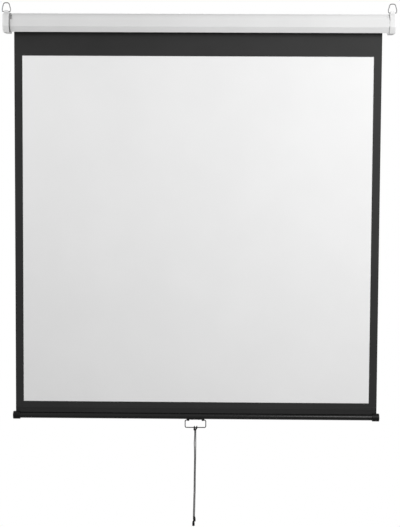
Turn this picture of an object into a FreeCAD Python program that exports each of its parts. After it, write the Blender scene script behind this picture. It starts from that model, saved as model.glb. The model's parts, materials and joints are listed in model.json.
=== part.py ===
"""A wall-hung projection screen that pulls down from a casing, in millimetres.

The origin is the middle of the casing's flat back.
X runs along the casing, -Y faces the viewers and +Z is up.
"""
import FreeCAD, Part
import math
import os

from FreeCAD import Vector

# Fabric
FABRIC_WIDTH = 1500.0
FABRIC = 0.4
BORDER_COAT = 0.15
BORDER_SIDE = 33.0
BORDER_DROP = 90.4
IMAGE_HEIGHT = 1424.0
BORDER_FOOT = 46.4
HEM_HEIGHT = 30.0
HEM = 0.8
SHEET_SEAM = 0.1

# Casing
CASE_HEIGHT = 76.0
CASE_DEPTH = 70.0
CASE_WALL = 1.2
CASE_TOP_ROUND = 28.0
CASE_CREASE_UP = 21.0
CASE_BEVEL = 14.0
CASE_FOOT_RISE = 10.0
CASE_BACK_ROUND = 4.0
CASE_EDGE_ROUND = 2.0
SLOT_WIDTH = 24.0

# End brackets
PLATE = 2.0
RIM_REACH = 3.3
RIM_WALL = 1.2
RIM_GAP = 0.15
TAB_REACH = 7.0
TAB_FROM_TOP = 8.0
TAB_HEIGHT = 20.0

# End caps
CAP_LENGTH = 26.5
CAP_LAND = 2.0
CAP_END_WALL = 4.0
CAP_OVER_FRONT = 5.0
CAP_OVER_TOP = 4.0
CAP_OVER_FOOT = 4.4
CAP_FOOT_RISE = 4.0
CAP_TOP_ROUND = 30.0
CAP_BEVEL = 15.0
CAP_CREASE_ROUND = 4.0
CAP_FOOT_ROUND = 8.0
CAP_BACK_ROUND = 5.0
CAP_OUTER_ROUND = 8.0
CAP_INNER_ROUND = 2.0
CAP_SCREW_FROM_BACK = 20.0
CAP_SCREW_FROM_FOOT = 14.0
CAP_SCREW_FROM_FRONT = 20.0
CAP_SCREW_FROM_TOP = 14.0
CAP_SCREW_R = 1.7
CAP_SCREW_HEAD_R = 3.3
CAP_SCREW_HEAD = 2.0
CAP_SCREW_SUNK = 3.0
CAP_SCREW_PAST_PLATE = 4.0
CAP_BOSS_R = 4.8
CROSS_LENGTH = 3.6
CROSS_WIDTH = 0.9
CROSS_DEPTH = 1.1

# Wire hangers and their lugs
HANGER_WIRE_R = 1.8
HANGER_FROM_BACK = 35.0
HANGER_OVER_CAP = 2.2
LUG_R = 6.0
LUG_LENGTH = 19.0
LUG_ROUND = 3.0
LUG_INSET = 1.5
HANGER_SEAT = 6.5
HANGER_SIDE_GAP = 4.2
HANGER_FLARE = 1.7
HANGER_FLARE_UP = 10.0
HANGER_TOP_WIDTH = 21.0
HANGER_TOP_UP = 35.5
HANGER_LEG_BEND = 3.0
HANGER_FLARE_BEND = 14.0
HANGER_TOP_BEND = 9.0

# Roller and the fabric left on it
ROLLER_FROM_BACK = 38.5
ROLLER_Z = 2.0
ROLLER_R = 19.0
ROLLER_WALL = 1.0
ROLLER_PAST_FABRIC = 2.5
PLUG_FLANGE = 3.0
ROLL_HALF_TURNS = 3
ROLL_GAP = 0.35
ROLL_SEAT = 0.1

# Idler end
IDLER_PIN_R = 4.0
IDLER_PLUG_LENGTH = 25.0
IDLER_PIN_PAST_PLATE = 2.0
IDLER_PLAY = 3.5
BUSH_R = 7.0
BUSH_FLANGE_R = 10.0
BUSH_FLANGE = 1.5

# Spring end
SHAFT_R = 4.0
SHAFT_PAST_ANCHOR = 4.0
TANG_THICK = 4.0
TANG_PAST_PLATE = 4.0
SPRING_PLUG_LENGTH = 28.0
SPRING_TURNS = 24
SPRING_PITCH = 6.0
SPRING_R = 10.0
SPRING_WIRE_R = 1.25
SPRING_LEG = 5.0
SPRING_LEG_BEND = 4.0
SPRING_BED = 5.0
ANCHOR_LENGTH = 16.0
CROSS_PIN_R = 1.25
CROSS_PIN_INSET = 1.0

# Stop lock, with its pawls held clear of the wheel
RATCHET_R = 8.0
RATCHET_THICK = 5.0
NOTCH_DEPTH = 2.5
NOTCH_WIDTH = 6.0
NOTCHES = 4
PAWL_THICK = 4.0
PAWL_PIVOT_ACROSS = 8.5
PAWL_EYE_R = 2.8
PAWL_ARM = 3.0
PAWL_TOOTH_WIDTH = 3.0
PAWL_TOOTH_REACH = 2.7
PAWL_TOOTH_SHIFT = 1.0
PAWL_LIFT = 0.5
PAWL_PIN_R = 1.25
PAWL_PIN_SUNK = 5.0
LOCK_SPACE = 0.6
COVER_STEP = 0.5
COVER_WALL = 1.2
COVER_BORE_GAP = 1.5
COVER_PLAY = 6.6

# Weight bar
BAR_R = 12.5
BAR_WALL = 1.5
BAR_PAST_FABRIC = 7.5
BAR_SLOT = 1.8
HEM_ROD_R = 3.0
HEM_ROD_DROP = 0.15
BAR_CAP_WALL = 4.0
BAR_CAP_LENGTH = 29.0
BAR_CAP_END = 3.0
BAR_CAP_ROUND = 2.0
BAR_CAP_SLIT = 2.4
BAR_STOP_GAP = 0.6

# Pull handle and its bracket
HANDLE_OFF_MIDDLE = -1.5
BRACKET_LENGTH = 74.0
BRACKET_WIDTH = 16.0
BRACKET_FLOOR = 1.4
BRACKET_UP = 4.0
BRACKET_ROUND = 1.0
EYE_R = 3.4
EYE_LENGTH = 8.0
EYE_SPREAD = 60.0
EYE_SUNK = 0.3
HANDLE_WIRE_R = 2.0
HANDLE_SEAT = 7.0
HANDLE_WIDTH = 86.0
HANDLE_DROP = 30.7
HANDLE_TOP_BEND = 5.0
HANDLE_FOOT_BEND = 6.0
BRACKET_SCREW_SPREAD = 28.0
BRACKET_SCREW_R = 1.5
BRACKET_SCREW_HEAD_R = 3.0
BRACKET_SCREW_HEAD = 1.6
BRACKET_SCREW_LENGTH = 8.0

# Pull cord: each strand's route starts under the knot and is measured from the handle's foot wire
CORD_R = 2.0
CORD_OFF_MIDDLE = -0.5
KNOT_TURNS = 3
KNOT_STEP = 4.2
CORD_SEAT = 0.1
STRAND_A = [
    (2.1, 0.0, -5.0), (2.0, -0.2, -23.0), (2.1, -0.4, -46.0), (2.4, -0.2, -68.0),
    (2.1, 0.1, -92.0), (1.9, -0.2, -136.0), (1.0, -0.5, -181.0), (0.7, -0.3, -232.0),
    (0.6, 0.2, -270.0), (-0.3, -0.3, -304.0), (-0.7, -0.8, -346.0), (-1.9, -0.6, -377.5),
]
STRAND_B = [
    (-2.1, 0.0, -5.0), (-2.2, 0.3, -23.0), (-2.7, 0.5, -46.0), (-4.4, 0.8, -68.0),
    (-2.7, 0.6, -92.0), (-2.4, 0.3, -136.0), (-3.3, 0.7, -181.0), (-3.6, 1.0, -232.0),
    (-3.8, 0.6, -270.0), (-4.7, 1.2, -304.0), (-5.6, 3.0, -346.0), (-6.6, 6.4, -374.0),
    (-5.8, 7.0, -398.4),
]
CORD_ARC_SHARE = 0.45
TIP_LENGTH = 20.0
TIP_TOP_R = 3.9
TIP_FOOT_R = 5.2
TIP_SKIRT = 11.0
TIP_BELL_BEND = 10.0
TIP_ROUND = 1.0

# Clearances
RUNNING = 0.07
SEATED = 0.03
CLEAR = 0.3

# The casing's length: the fabric and the room that each end of the roller needs
ROLLER_END = ROLLER_PAST_FABRIC + PLUG_FLANGE
IDLER_ROOM = ROLLER_END + IDLER_PLAY + BUSH_FLANGE
LOCK_ROOM = ROLLER_END + LOCK_SPACE + RATCHET_THICK + LOCK_SPACE + COVER_WALL + COVER_PLAY
CASE_LENGTH = FABRIC_WIDTH + IDLER_ROOM + LOCK_ROOM
SCREEN_X = (IDLER_ROOM - LOCK_ROOM) / 2

# Places in the casing
X_AXIS = Vector(1, 0, 0)
Z_AXIS = Vector(0, 0, 1)
CASE_TOP = CASE_HEIGHT / 2
CASE_FOOT = -CASE_HEIGHT / 2
CASE_FRONT = -CASE_DEPTH
CASE_CREASE = CASE_FOOT + CASE_CREASE_UP
CASE_FOOT_Y = CASE_FRONT + CASE_BEVEL
FOOT_SLOPE = math.atan2(CASE_FOOT_RISE, -CASE_FOOT_Y)
CASE_END = CASE_LENGTH / 2
CAP_START = CASE_END + PLATE
CAP_END = CAP_START + CAP_LENGTH
CAP_TOP = CASE_TOP + CAP_OVER_TOP
CAP_FRONT = CASE_FRONT - CAP_OVER_FRONT
CAP_FOOT = CASE_FOOT - CAP_OVER_FOOT
CAP_SCREWS_YZ = [
    (-CAP_SCREW_FROM_BACK, CASE_FOOT + CAP_SCREW_FROM_FOOT),
    (CASE_FRONT + CAP_SCREW_FROM_FRONT, CASE_TOP - CAP_SCREW_FROM_TOP),
]
LUG_X = CAP_END - LUG_INSET - LUG_LENGTH / 2
HANGER_Y = -HANGER_FROM_BACK
HANGER_Z = CAP_TOP + HANGER_OVER_CAP + HANGER_WIRE_R

# Places along the roller
ROLLER_Y = -ROLLER_FROM_BACK
ROLLER_AXIS = Vector(0, ROLLER_Y, ROLLER_Z)
FABRIC_LEFT = SCREEN_X - FABRIC_WIDTH / 2
FABRIC_RIGHT = SCREEN_X + FABRIC_WIDTH / 2
ROLLER_LEFT = FABRIC_LEFT - ROLLER_PAST_FABRIC
ROLLER_RIGHT = FABRIC_RIGHT + ROLLER_PAST_FABRIC
ROLLER_BORE_R = ROLLER_R - ROLLER_WALL
ROLL_STEP = FABRIC + ROLL_GAP
ROLL_INNER_R = ROLLER_R + ROLL_SEAT + ROLL_STEP / 4 + FABRIC / 2
ROLL_OUTER_R = ROLL_INNER_R + (ROLL_HALF_TURNS - 1) * ROLL_STEP / 2
PLUG_FACE = ROLLER_RIGHT + PLUG_FLANGE
RATCHET_X = PLUG_FACE + LOCK_SPACE
COVER_FACE = RATCHET_X + RATCHET_THICK + LOCK_SPACE
COVER_R = ROLLER_R - COVER_STEP
PAWL_PIVOT_OUT = RATCHET_R + PAWL_LIFT + PAWL_TOOTH_REACH
SPRING_START = ROLLER_RIGHT - SPRING_PLUG_LENGTH - SPRING_BED
SPRING_END = SPRING_START - SPRING_TURNS * SPRING_PITCH
ANCHOR_FACE = SPRING_END - SPRING_BED
ANCHOR_BACK = ANCHOR_FACE - ANCHOR_LENGTH

# Places down the fabric
SHEET_Y = ROLLER_Y + ROLL_STEP / 4 + ROLL_OUTER_R
SHEET_TOP = ROLLER_Z - CLEAR
IMAGE_TOP = CASE_FOOT - BORDER_DROP
IMAGE_FOOT = IMAGE_TOP - IMAGE_HEIGHT
BAR_Z = IMAGE_FOOT - BORDER_FOOT - BAR_R
BAR_FOOT = BAR_Z - BAR_R
BAR_LEFT = FABRIC_LEFT - BAR_PAST_FABRIC
BAR_RIGHT = FABRIC_RIGHT + BAR_PAST_FABRIC
BAR_CAP_R = BAR_R + BAR_CAP_WALL
HEM_TOP = BAR_Z + BAR_R + HEM_HEIGHT
HEM_ROD_Z = BAR_Z + BAR_R - BAR_WALL - HEM_ROD_DROP - HEM - SEATED - HEM_ROD_R
BAR_STOP_Z = (
    CASE_FOOT + (SHEET_Y - CASE_FOOT_Y) * math.tan(FOOT_SLOPE)
    - (RIM_GAP + RIM_WALL + BAR_STOP_GAP + BAR_CAP_R) / math.cos(FOOT_SLOPE))
LIFT_TRAVEL = BAR_STOP_Z - BAR_Z
HANDLE_X = SCREEN_X + HANDLE_OFF_MIDDLE
EYE_Z = BAR_FOOT - BRACKET_FLOOR - EYE_R + EYE_SUNK
HANDLE_FOOT_Z = EYE_Z - HANDLE_DROP
CORD_X = HANDLE_X + CORD_OFF_MIDDLE
KNOT_FLAT = STRAND_A[0][2] + CORD_SEAT


def rod(radius, x_from, x_to, y, z):
    """A round bar along X."""
    return Part.makeCylinder(radius, x_to - x_from, Vector(x_from, y, z), X_AXIS)


def roller_rod(radius, x_from, x_to):
    """A round bar on the roller's axis."""
    return rod(radius, x_from, x_to, ROLLER_Y, ROLLER_Z)


def post(radius, x, z_from, z_to):
    """A round bar along Z in the plane of the fabric."""
    return Part.makeCylinder(radius, z_to - z_from, Vector(x, SHEET_Y, z_from), Z_AXIS)


def block(x_from, x_to, y_from, y_to, z_from, z_to):
    return Part.makeBox(x_to - x_from, y_to - y_from, z_to - z_from, Vector(x_from, y_from, z_from))


def prism(outline, x_from, x_to):
    """An outline drawn in the plane X = 0, stretched along X."""
    face = Part.Face(outline)
    face.translate(Vector(x_from, 0, 0))
    return face.extrude(Vector(x_to - x_from, 0, 0))


def mirrored(shape):
    return shape.mirror(Vector(0, 0, 0), X_AXIS)


def half_turned(shape):
    """A copy on the other side of the roller's axis."""
    other = shape.copy()
    other.rotate(ROLLER_AXIS, X_AXIS, 180)
    return other


def end_edges(shape, x):
    """The edges of a shape that lie wholly in the plane at x."""
    boxes = [(edge, edge.BoundBox) for edge in shape.Edges]
    return [edge for edge, box in boxes if abs(box.XMin - x) < 1e-4 and abs(box.XMax - x) < 1e-4]


def corner_arc(before, corner, after, radius):
    """Start, middle and end of the arc that rounds a corner."""
    to_before = (before - corner).normalize()
    to_after = (after - corner).normalize()
    half = to_before.getAngle(to_after) / 2
    inward = (to_before + to_after).normalize()
    reach = radius / math.tan(half)
    depth = radius / math.sin(half) - radius
    return corner + to_before * reach, corner + inward * depth, corner + to_after * reach


def rounded_wire(points, radii, closed=False):
    """Straight runs joined by tangent arcs, with one radius for each corner."""
    count = len(points)
    corners = range(count) if closed else range(1, count - 1)
    arcs = {}
    for i, radius in zip(corners, radii):
        arcs[i] = corner_arc(points[i - 1], points[i], points[(i + 1) % count], radius)
    edges = []
    for i in range(count if closed else count - 1):
        j = (i + 1) % count
        start = arcs[i][2] if i in arcs else points[i]
        end = arcs[j][0] if j in arcs else points[j]
        edges.append(Part.LineSegment(start, end).toShape())
        if j in arcs:
            edges.append(Part.Arc(*arcs[j]).toShape())
    return Part.Wire(edges)


def round_bar_along(path, start, direction, radius):
    """A round wire or cord along a path."""
    section = Part.Wire(Part.Circle(start, direction, radius).toShape())
    return path.makePipeShell([section], True, False)


def case_outline():
    """The casing's outside, with its round top front, its bevel and a foot that rises towards the wall."""
    points = [
        Vector(0, 0, CASE_FOOT + CASE_FOOT_RISE),
        Vector(0, 0, CASE_TOP),
        Vector(0, CASE_FRONT, CASE_TOP),
        Vector(0, CASE_FRONT, CASE_CREASE),
        Vector(0, CASE_FOOT_Y, CASE_FOOT),
    ]
    radii = [CASE_BACK_ROUND, CASE_BACK_ROUND, CASE_TOP_ROUND, CASE_EDGE_ROUND, CASE_EDGE_ROUND]
    return rounded_wire(points, radii, closed=True)


def case_tube():
    """The rolled casing, with a slot along its foot for the fabric."""
    shell = prism(case_outline(), -CASE_END, CASE_END)
    shell = shell.cut(prism(case_outline().makeOffset2D(-CASE_WALL), -CASE_END, CASE_END))
    slot = block(
        -CASE_END, CASE_END,
        SHEET_Y - SLOT_WIDTH / 2, SHEET_Y + SLOT_WIDTH / 2,
        CASE_FOOT, CASE_FOOT + CASE_FOOT_RISE + 2 * CASE_WALL)
    return shell.cut(slot)


def drilled(bracket):
    """A right-hand end plate with the holes for the cap's screws."""
    for y, z in CAP_SCREWS_YZ:
        bracket = bracket.cut(rod(CAP_SCREW_R + SEATED, CASE_END, CAP_START, y, z))
    return bracket


def idler_bracket():
    """The left-hand end plate, drawn at the right: a rim over the casing and a tab at its top."""
    inside = case_outline().makeOffset2D(RIM_GAP)
    outside = case_outline().makeOffset2D(RIM_GAP + RIM_WALL)
    rim_start = CASE_END - RIM_REACH
    tab_start = rim_start - TAB_REACH
    tab_top = CASE_TOP - TAB_FROM_TOP
    ring = prism(outside, tab_start, CASE_END).cut(prism(inside, tab_start, CASE_END))
    tab = ring.common(block(tab_start, CASE_END, CAP_FRONT, CASE_FRONT / 2, tab_top - TAB_HEIGHT, tab_top))
    rim = ring.common(block(rim_start, CASE_END, CAP_FRONT, 0, CAP_FOOT - PLATE, CAP_TOP))
    plate = prism(outside, CASE_END, CAP_START)
    plate = plate.common(block(CASE_END, CAP_START, CAP_FRONT, 0, CAP_FOOT - PLATE, CAP_TOP))
    bracket = drilled(plate.fuse([rim, tab]).removeSplitter())
    return mirrored(bracket).cut(roller_rod(BUSH_R + SEATED, -CAP_START, -CASE_END))


def shaft_tang(gap=0.0):
    """The shaft's end, with two flats."""
    end = CAP_START + TANG_PAST_PLATE
    half = TANG_THICK / 2 + gap
    tang = roller_rod(SHAFT_R + gap, CASE_END, end)
    return tang.common(block(CASE_END, end, ROLLER_Y - half, ROLLER_Y + half, CASE_FOOT, CASE_TOP))


def spring_bracket():
    """The right-hand end plate, flush with the casing: a rim inside it and a hole for the shaft's flats."""
    outside = case_outline().makeOffset2D(-CASE_WALL - RIM_GAP)
    inside = case_outline().makeOffset2D(-CASE_WALL - RIM_GAP - RIM_WALL)
    rim_start = CASE_END - RIM_REACH
    rim = prism(outside, rim_start, CASE_END).cut(prism(inside, rim_start, CASE_END))
    plate = prism(case_outline(), CASE_END, CAP_START)
    return drilled(plate.fuse(rim).removeSplitter()).cut(shaft_tang(SEATED))


def cap_outline():
    points = [
        Vector(0, 0, CAP_FOOT + CAP_FOOT_RISE),
        Vector(0, 0, CAP_TOP),
        Vector(0, CAP_FRONT, CAP_TOP),
        Vector(0, CAP_FRONT, CASE_CREASE),
        Vector(0, CAP_FRONT + CAP_BEVEL, CAP_FOOT),
    ]
    radii = [CAP_BACK_ROUND, CAP_BACK_ROUND, CAP_TOP_ROUND, CAP_CREASE_ROUND, CAP_FOOT_ROUND]
    return rounded_wire(points, radii, closed=True)


def hanger_lug():
    """The rounded lug on top of a cap that the wire hanger turns in."""
    start = LUG_X - LUG_LENGTH / 2
    end = LUG_X + LUG_LENGTH / 2
    lug = rod(LUG_R, start, end, HANGER_Y, HANGER_Z)
    stem = block(start, end, HANGER_Y - LUG_R, HANGER_Y + LUG_R, CASE_TOP, HANGER_Z)
    lug = lug.fuse(stem).removeSplitter()
    top_edges = [e for e in end_edges(lug, start) + end_edges(lug, end) if e.BoundBox.ZMax > HANGER_Z]
    return lug.makeFillet(LUG_ROUND, top_edges)


def end_cap():
    """The right-hand cap: a rounded shell on the bracket, two screw bosses and the hanger's lug."""
    shell = prism(cap_outline(), CAP_START, CAP_END)
    shell = shell.makeFillet(CAP_OUTER_ROUND, end_edges(shell, CAP_END))
    shell = shell.makeFillet(CAP_INNER_ROUND, end_edges(shell, CAP_START))
    hollow_end = CAP_END - CAP_END_WALL
    hollow = prism(case_outline().makeOffset2D(-CAP_LAND), CAP_START, hollow_end)
    cap = shell.fuse(hanger_lug()).cut(hollow)
    cap = cap.fuse([rod(CAP_BOSS_R, CAP_START, hollow_end, y, z) for y, z in CAP_SCREWS_YZ])
    cap = cap.removeSplitter()
    for y, z in CAP_SCREWS_YZ:
        cap = cap.cut(rod(CAP_SCREW_R + SEATED, CAP_START, CAP_END, y, z))
        cap = cap.cut(rod(CAP_SCREW_HEAD_R + CLEAR, CAP_END - CAP_SCREW_SUNK, CAP_END, y, z))
    return cap.cut(rod(HANGER_WIRE_R + RUNNING, CAP_START, CAP_END, HANGER_Y, HANGER_Z))


def cap_screw(y, z):
    seat = CAP_END - CAP_SCREW_SUNK
    head_end = seat + CAP_SCREW_HEAD
    head = rod(CAP_SCREW_HEAD_R, seat, head_end, y, z)
    shank = rod(CAP_SCREW_R, CASE_END - CAP_SCREW_PAST_PLATE, seat, y, z)
    floor = head_end - CROSS_DEPTH
    half_length = CROSS_LENGTH / 2
    half_width = CROSS_WIDTH / 2
    upright = block(floor, head_end, y - half_width, y + half_width, z - half_length, z + half_length)
    level = block(floor, head_end, y - half_length, y + half_length, z - half_width, z + half_width)
    return head.fuse(shank).cut(upright.fuse(level)).removeSplitter()


def cap_screws():
    right = [cap_screw(y, z) for y, z in CAP_SCREWS_YZ]
    return Part.makeCompound(right + [mirrored(screw) for screw in right])


def hanger():
    """The right-hand wire loop, standing up, with both feet in the lug."""
    leg_x = LUG_LENGTH / 2 + HANGER_WIRE_R + HANGER_SIDE_GAP
    half = [
        (LUG_LENGTH / 2 - HANGER_SEAT, 0.0),
        (leg_x, 0.0),
        (leg_x + HANGER_FLARE, HANGER_FLARE_UP),
        (HANGER_TOP_WIDTH / 2, HANGER_TOP_UP),
    ]
    loop = half + [(-x, up) for x, up in reversed(half)]
    points = [Vector(LUG_X + x, HANGER_Y, HANGER_Z + up) for x, up in loop]
    bends = [HANGER_LEG_BEND, HANGER_FLARE_BEND, HANGER_TOP_BEND]
    path = rounded_wire(points, bends + bends[::-1])
    return round_bar_along(path, points[0], X_AXIS, HANGER_WIRE_R)


def roller_tube():
    tube = roller_rod(ROLLER_R, ROLLER_LEFT, ROLLER_RIGHT)
    return tube.cut(roller_rod(ROLLER_BORE_R, ROLLER_LEFT, ROLLER_RIGHT))


def spiral_side(offset):
    """One side of the wound fabric as half circles, from the outer end inwards."""
    arcs = []
    for k in range(ROLL_HALF_TURNS):
        radius = ROLL_OUTER_R - k * ROLL_STEP / 2 + offset
        way = 1 if k % 2 == 0 else -1
        centre = ROLLER_AXIS + Vector(0, way * ROLL_STEP / 4, 0)
        across = Vector(0, way * radius, 0)
        arcs.append((centre + across, centre + Vector(0, 0, way * radius), centre - across))
    return arcs


def fabric_roll():
    """The turns of fabric that stay on the roller when the screen is right down."""
    outer = spiral_side(FABRIC / 2)
    inner = spiral_side(-FABRIC / 2)
    edges = [Part.Arc(*arc).toShape() for arc in outer]
    edges.append(Part.LineSegment(outer[-1][2], inner[-1][2]).toShape())
    edges += [Part.Arc(*arc[::-1]).toShape() for arc in reversed(inner)]
    edges.append(Part.LineSegment(inner[0][0], outer[0][0]).toShape())
    return prism(Part.Wire(edges), FABRIC_LEFT, FABRIC_RIGHT)


def idler_plug():
    flange = roller_rod(ROLLER_R, ROLLER_LEFT - PLUG_FLANGE, ROLLER_LEFT)
    spigot = roller_rod(ROLLER_BORE_R - SEATED, ROLLER_LEFT, ROLLER_LEFT + IDLER_PLUG_LENGTH)
    bore = roller_rod(IDLER_PIN_R + SEATED, ROLLER_LEFT - PLUG_FLANGE, ROLLER_LEFT + IDLER_PLUG_LENGTH)
    return flange.fuse(spigot).cut(bore).removeSplitter()


def idler_pin():
    return roller_rod(IDLER_PIN_R, -CAP_START - IDLER_PIN_PAST_PLATE, ROLLER_LEFT + IDLER_PLUG_LENGTH)


def idler_bush():
    body = roller_rod(BUSH_R, -CAP_START, -CASE_END)
    flange = roller_rod(BUSH_FLANGE_R, -CASE_END, -CASE_END + BUSH_FLANGE)
    bore = roller_rod(IDLER_PIN_R + RUNNING, -CAP_START, -CASE_END + BUSH_FLANGE)
    return body.fuse(flange).cut(bore).removeSplitter()


def cross_pin(x, half_length, gap):
    """A pin through the shaft, at 45 degrees to the notches."""
    way = Vector(0, 1, 1).normalize()
    start = Vector(x, ROLLER_Y, ROLLER_Z) - way * half_length
    return Part.makeCylinder(CROSS_PIN_R + gap, 2 * half_length, start, way)


def ratchet_pin(gap=0.0):
    return cross_pin(RATCHET_X + RATCHET_THICK / 2, RATCHET_R - CROSS_PIN_INSET, gap)


def anchor_pin(gap=0.0):
    return cross_pin(ANCHOR_BACK + ANCHOR_LENGTH / 2, ROLLER_BORE_R - CROSS_PIN_INSET, gap)


def spring_shaft():
    """The fixed shaft, with a flat tang that the spring bracket holds."""
    shaft = roller_rod(SHAFT_R, ANCHOR_BACK - SHAFT_PAST_ANCHOR, CASE_END)
    shaft = shaft.fuse(shaft_tang()).removeSplitter()
    return shaft.cut(ratchet_pin(SEATED)).cut(anchor_pin(SEATED))


def helix_point(turn):
    angle = 2 * math.pi * turn
    return Vector(
        SPRING_START - SPRING_PITCH * turn,
        ROLLER_Y + SPRING_R * math.cos(angle),
        ROLLER_Z + SPRING_R * math.sin(angle))


def helix_way(turn):
    angle = 2 * math.pi * turn
    advance = -SPRING_PITCH / (2 * math.pi)
    return Vector(advance, -SPRING_R * math.sin(angle), SPRING_R * math.cos(angle)).normalize()


def equal_leg_arc(start, corner, end):
    """The arc that is tangent to two legs of the same length."""
    leg = start - corner
    half = leg.getAngle(end - corner) / 2
    return Part.Arc(*corner_arc(start, corner, end, leg.Length * math.tan(half))).toShape()


def half_coil(turn):
    """Half a turn of the coil as two arcs that meet smoothly."""
    start, end = helix_point(turn), helix_point(turn + 0.5)
    way_in, way_out = helix_way(turn), helix_way(turn + 0.5)
    span = end - start
    spread = 2 * (1 - way_in.dot(way_out))
    along = span.dot(way_in + way_out)
    leg = (math.sqrt(along ** 2 + spread * span.dot(span)) - along) / spread
    first, second = start + way_in * leg, end - way_out * leg
    middle = (first + second) * 0.5
    return [equal_leg_arc(start, first, middle), equal_leg_arc(middle, second, end)]


def spring_leg(turn, side, tip_x):
    """An end of the coil, bent to run along the shaft towards side (+1 or -1): two edges and the tip."""
    start = helix_point(turn)
    way = helix_way(turn) * -side
    along = X_AXIS * side
    leg = SPRING_LEG_BEND * math.tan(way.getAngle(along) / 2)
    corner = start + way * leg
    bend_end = corner + along * leg
    tip = Vector(tip_x, bend_end.y, bend_end.z)
    return [equal_leg_arc(start, corner, bend_end), Part.LineSegment(bend_end, tip).toShape()], tip


def driven_leg():
    return spring_leg(0, 1, SPRING_START + SPRING_BED + SPRING_LEG)


def fixed_leg():
    return spring_leg(SPRING_TURNS, -1, ANCHOR_FACE - SPRING_LEG)


def coil_self_gap(path, samples_per_turn=24):
    """The least gap between one turn of the coil and the next, from points along it."""
    points = path.discretize(Number=SPRING_TURNS * samples_per_turn)
    nearest = min(
        (points[i] - points[j]).Length
        for i in range(len(points))
        for j in range(i + samples_per_turn // 2, min(i + 2 * samples_per_turn, len(points))))
    return nearest - 2 * SPRING_WIRE_R


def drive_spring():
    first_edges, first_tip = driven_leg()
    last_edges, _ = fixed_leg()
    edges = first_edges[::-1]
    for k in range(2 * SPRING_TURNS):
        edges += half_coil(k / 2)
    path = Part.Wire(Part.__sortEdges__(edges + last_edges))
    print("drive spring: least gap between turns", round(coil_self_gap(path), 2))
    return round_bar_along(path, first_tip, X_AXIS, SPRING_WIRE_R)


def leg_hole(tip, x_from, x_to):
    return rod(SPRING_WIRE_R + SEATED, x_from, x_to, tip.y, tip.z)


def pawl_pin_pair(gap=0.0):
    y = ROLLER_Y + PAWL_PIVOT_ACROSS
    z = ROLLER_Z + PAWL_PIVOT_OUT
    pin = rod(PAWL_PIN_R + gap, PLUG_FACE - PAWL_PIN_SUNK, COVER_FACE, y, z)
    return [pin, half_turned(pin)]


def spring_end_plug():
    """The roller's sprung end, which turns on the shaft and takes the coil's driven leg."""
    inner = ROLLER_RIGHT - SPRING_PLUG_LENGTH
    flange = roller_rod(ROLLER_R, ROLLER_RIGHT, PLUG_FACE)
    plug = flange.fuse(roller_rod(ROLLER_BORE_R - SEATED, inner, ROLLER_RIGHT)).removeSplitter()
    plug = plug.cut(roller_rod(SHAFT_R + RUNNING, inner, PLUG_FACE))
    _, tip = driven_leg()
    plug = plug.cut(leg_hole(tip, inner, tip.x + CLEAR))
    for pin in pawl_pin_pair(SEATED):
        plug = plug.cut(pin)
    return plug


def spring_anchor():
    """The collar pinned to the shaft that takes the coil's fixed leg and steadies the roller."""
    collar = roller_rod(ROLLER_BORE_R - RUNNING, ANCHOR_BACK, ANCHOR_FACE)
    collar = collar.cut(roller_rod(SHAFT_R + SEATED, ANCHOR_BACK, ANCHOR_FACE))
    _, tip = fixed_leg()
    return collar.cut(leg_hole(tip, tip.x - CLEAR, ANCHOR_FACE)).cut(anchor_pin(SEATED))


def ratchet_wheel():
    """The fixed wheel, whose notches stop the roller."""
    end = RATCHET_X + RATCHET_THICK
    wheel = roller_rod(RATCHET_R, RATCHET_X, end).cut(roller_rod(SHAFT_R + SEATED, RATCHET_X, end))
    notch = block(
        RATCHET_X, end,
        ROLLER_Y - NOTCH_WIDTH / 2, ROLLER_Y + NOTCH_WIDTH / 2,
        ROLLER_Z + RATCHET_R - NOTCH_DEPTH, ROLLER_Z + 2 * RATCHET_R)
    for k in range(NOTCHES):
        cut = notch.copy()
        cut.rotate(ROLLER_AXIS, X_AXIS, 360 / NOTCHES * k)
        wheel = wheel.cut(cut)
    return wheel.cut(ratchet_pin(SEATED))


def pawl():
    """The pawl above the wheel: an eye, an arm and a tooth over a notch."""
    start = RATCHET_X + (RATCHET_THICK - PAWL_THICK) / 2
    end = start + PAWL_THICK
    pivot_y = ROLLER_Y + PAWL_PIVOT_ACROSS
    pivot_z = ROLLER_Z + PAWL_PIVOT_OUT
    tooth_front = ROLLER_Y - PAWL_TOOTH_SHIFT - PAWL_TOOTH_WIDTH / 2
    tooth_back = tooth_front + PAWL_TOOTH_WIDTH
    arm_foot = pivot_z - PAWL_ARM / 2
    eye = rod(PAWL_EYE_R, start, end, pivot_y, pivot_z)
    arm = block(start, end, tooth_front, pivot_y, arm_foot, arm_foot + PAWL_ARM)
    tooth = block(start, end, tooth_front, tooth_back, pivot_z - PAWL_TOOTH_REACH, arm_foot)
    piece = eye.fuse([arm, tooth]).removeSplitter()
    return piece.cut(rod(PAWL_PIN_R + RUNNING, start, end, pivot_y, pivot_z))


def pawl_cover():
    """A shallow cup on the plug that keeps the pawls on their pins."""
    end = COVER_FACE + COVER_WALL
    cup = roller_rod(COVER_R, PLUG_FACE, end)
    cup = cup.cut(roller_rod(COVER_R - COVER_WALL, PLUG_FACE, COVER_FACE))
    return cup.cut(roller_rod(SHAFT_R + COVER_BORE_GAP, COVER_FACE, end))


def screen_sheet():
    return block(
        FABRIC_LEFT, FABRIC_RIGHT,
        SHEET_Y - FABRIC / 2, SHEET_Y + FABRIC / 2,
        HEM_TOP + SHEET_SEAM, SHEET_TOP)


def black_border():
    """The black coat on the fabric's front, open over the white image."""
    back = SHEET_Y - FABRIC / 2
    front = back - BORDER_COAT
    coat = block(FABRIC_LEFT, FABRIC_RIGHT, front, back, HEM_TOP + SHEET_SEAM, SHEET_TOP)
    image = block(FABRIC_LEFT + BORDER_SIDE, FABRIC_RIGHT - BORDER_SIDE, front, back, IMAGE_FOOT, IMAGE_TOP)
    return coat.cut(image)


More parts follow.
